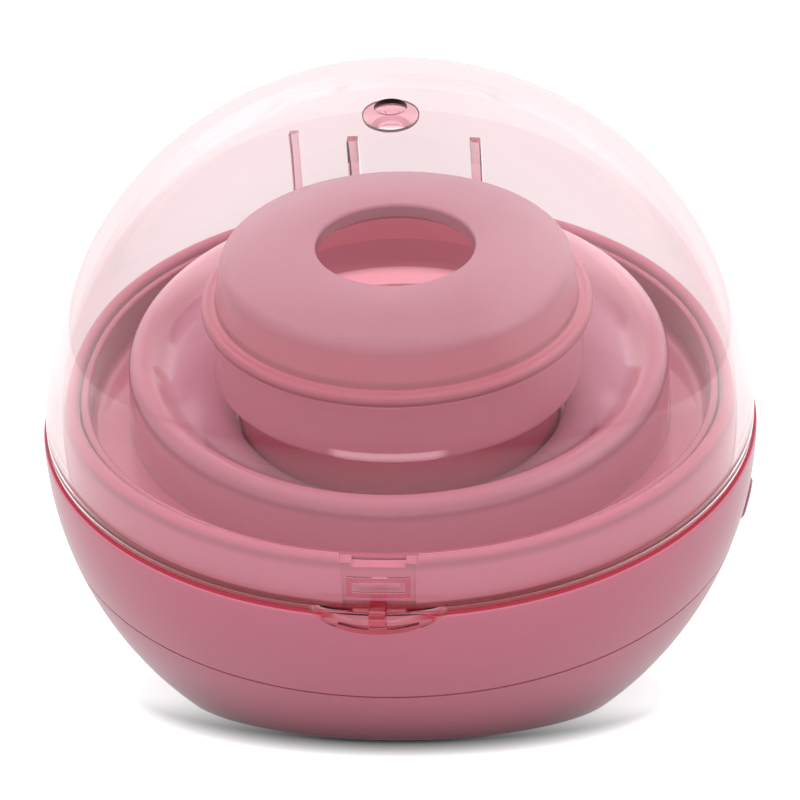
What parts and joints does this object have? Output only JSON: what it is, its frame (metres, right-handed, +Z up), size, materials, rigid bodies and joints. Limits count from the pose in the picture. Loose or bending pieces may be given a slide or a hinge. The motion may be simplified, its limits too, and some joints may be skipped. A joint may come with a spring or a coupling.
{
  "type": "pacifier sterilizer case",
  "caption": "Ball-shaped sterilizer case for a pacifier: clear hinged dome on a slanted two-part base, with a lift-off holder over a lamp cup and a side power button.",
  "frame": {"origin": "centre of the flat underside, on the surface the case stands on", "axes": "+Z up, the thumb tab faces -Y, the power button is on the +X side, the hinge is at +Y"},
  "size_m": [0.089, 0.09, 0.0803],
  "materials": {
    "base_pink": "fine satin",
    "tray_pink": "glossy",
    "cup_grey": "glossy",
    "seal_rubber": "matt",
    "window_glass": "polished",
    "board_rose": "solder mask",
    "lamp_ceramic": "matt ceramic",
    "screw_steel": "bright",
    "cable_film": "film",
    "board_green": "solder mask",
    "chip_black": "matt",
    "cell_foil": "satin foil",
    "tray_white": "matt",
    "port_steel": "bright",
    "light_pipe": "clear",
    "foot_rubber": "matt",
    "dome_clear": "clear, polished",
    "magnet_nickel": "nickel plated",
    "cap_pink": "satin",
    "ring_pink": "glossy, translucent",
    "button_pink": "glossy"
  },
  "bodies": {
    "base": {"lower_shell": "base_pink", "upper_shell": "base_pink", "inner_tray": "tray_pink", "reflector_dish": "tray_pink", "lamp_housing": "cup_grey", "lamp_seal": "seal_rubber", "uv_window": "window_glass", "uv_board": "board_rose", "uv_leds": "lamp_ceramic", "lamp_screws": "screw_steel", "lamp_cable": "cable_film", "main_board": "board_green", "board_chips": "chip_black", "board_screws": "screw_steel", "battery": "cell_foil", "battery_tray": "tray_white", "charging_port": "port_steel", "charge_light": "light_pipe", "button_board": "board_green", "button_switch": "chip_black", "lid_sensor": "chip_black", "hinge_pin": "screw_steel", "shell_screws": "screw_steel", "foot_pad": "foot_rubber"},
    "lid": {"dome": "dome_clear", "lid_magnet": "magnet_nickel"},
    "holder": {"holder_cap": "cap_pink", "holder_ring": "ring_pink"},
    "button": {"power_button": "button_pink"}
  },
  "joints": [
    {"name": "lid_hinge", "type": "hinge", "parent": "base", "child": "lid", "pos_m": [0, 0.04348, 0.05464], "axis": [-1, 0, 0], "range_deg": [0, 100]},
    {"name": "holder_lift", "type": "slide", "parent": "base", "child": "holder", "axis": [0, -0.3843, 0.9232], "range_m": [0, 0.008]},
    {"name": "button_press", "type": "slide", "parent": "base", "child": "button", "axis": [-1, 0, 0], "range_m": [0, 0.0008], "stiffness_N_per_m": 800, "springref_m": -0.0008}
  ]
}
